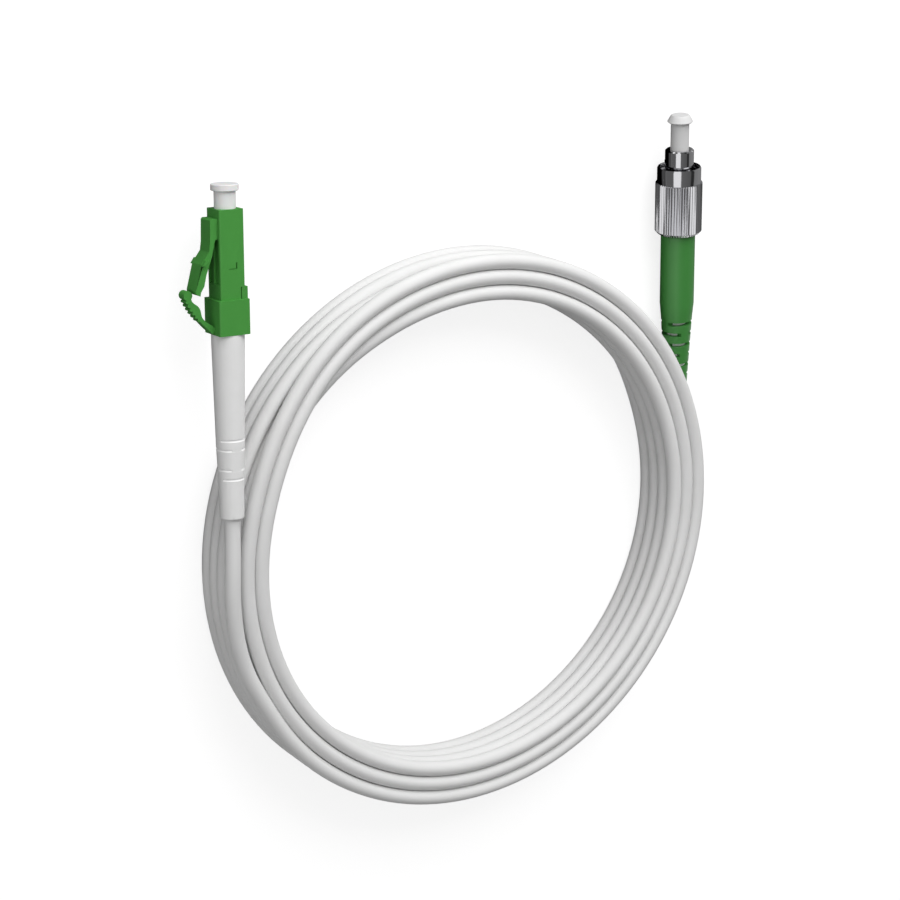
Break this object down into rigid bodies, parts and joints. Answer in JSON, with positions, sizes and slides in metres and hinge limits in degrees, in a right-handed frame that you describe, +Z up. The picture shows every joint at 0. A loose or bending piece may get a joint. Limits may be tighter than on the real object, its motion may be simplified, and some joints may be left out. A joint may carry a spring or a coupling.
{
  "type": "fibre optic patch cable",
  "caption": "Coiled single-fibre patch cable with a square latching push-in plug at one end and a round screw-on plug at the other, both capped.",
  "frame": {"origin": "centre of the coil's eye, on the surface that the cable lies on", "axes": "+Z up off the surface along the coil's axis, +Y the way both plugs point, +X from the square plug towards the round one"},
  "size_m": [0.1127, 0.1271, 0.0128],
  "materials": {
    "cable_jacket": "satin",
    "green_nylon": "satin",
    "green_rubber": "matt",
    "white_rubber": "matt",
    "cap_plastic": "satin",
    "nickel_brass": "polished",
    "crimp_metal": "satin",
    "spring_steel": "drawn",
    "zirconia": "polished",
    "buffer_plastic": "satin"
  },
  "bodies": {
    "cable_and_plugs": {"lc_housing": "green_nylon", "lc_rear_housing": "green_nylon", "lc_stem": "nickel_brass", "lc_crimp_sleeve": "crimp_metal", "lc_boot": "white_rubber", "lc_fibre": "buffer_plastic", "lc_cable_end": "cable_jacket", "fc_barrel": "nickel_brass", "fc_retaining_ring": "spring_steel", "fc_stem": "nickel_brass", "fc_crimp_sleeve": "crimp_metal", "fc_boot": "green_rubber", "fc_fibre": "buffer_plastic", "fc_cable_end": "cable_jacket", "cable_coil": "cable_jacket", "cable_lc_lead": "cable_jacket", "cable_fc_lead": "cable_jacket"},
    "latch_arm": {"lc_latch_arm": "green_nylon"},
    "release_lever": {"lc_release_lever": "green_nylon"},
    "lc_ferrule_set": {"lc_ferrule": "zirconia", "lc_ferrule_flange": "nickel_brass", "lc_spring": "spring_steel"},
    "lc_cap": {"lc_dust_cap": "cap_plastic"},
    "coupling_nut": {"fc_coupling_nut": "nickel_brass"},
    "fc_ferrule_set": {"fc_ferrule": "zirconia", "fc_ferrule_flange": "nickel_brass", "fc_spring": "spring_steel"},
    "fc_cap": {"fc_dust_cap": "cap_plastic"}
  },
  "joints": [
    {"name": "latch_press", "type": "hinge", "parent": "cable_and_plugs", "child": "latch_arm", "pos_m": [-0.05281, 0.06458, 0.00808], "axis": [0.0015, 0.0516, 0.9987], "range_deg": [0, 4.5], "stiffness_Nm_per_rad": 0.02},
    {"name": "lever_press", "type": "hinge", "parent": "cable_and_plugs", "child": "release_lever", "pos_m": [-0.05374, 0.04628, 0.00903], "axis": [0.0015, 0.0516, 0.9987], "range_deg": [-9, 0], "stiffness_Nm_per_rad": 0.02},
    {"name": "lc_ferrule_float", "type": "slide", "parent": "cable_and_plugs", "child": "lc_ferrule_set", "axis": [-0.0288, -0.9983, 0.0516], "range_m": [0, 0.0008], "stiffness_N_per_m": 600},
    {"name": "lc_cap_pull", "type": "slide", "parent": "cable_and_plugs", "child": "lc_cap", "axis": [0.0288, 0.9983, -0.0516], "range_m": [0, 0.007]},
    {"name": "nut_turn", "type": "hinge", "parent": "cable_and_plugs", "child": "coupling_nut", "pos_m": [0.04864, 0.058, 0.00505], "axis": [-0.0711, 0.995, 0.0697], "continuous": true},
    {"name": "fc_ferrule_float", "type": "slide", "parent": "cable_and_plugs", "child": "fc_ferrule_set", "axis": [0.0711, -0.995, -0.0697], "range_m": [0, 0.0008], "stiffness_N_per_m": 800},
    {"name": "fc_cap_pull", "type": "slide", "parent": "cable_and_plugs", "child": "fc_cap", "axis": [-0.0711, 0.995, 0.0697], "range_m": [0, 0.009]}
  ],
  "couplings": [
    {"joint": "lever_press", "follows": "latch_press", "ratio": -2}
  ]
}
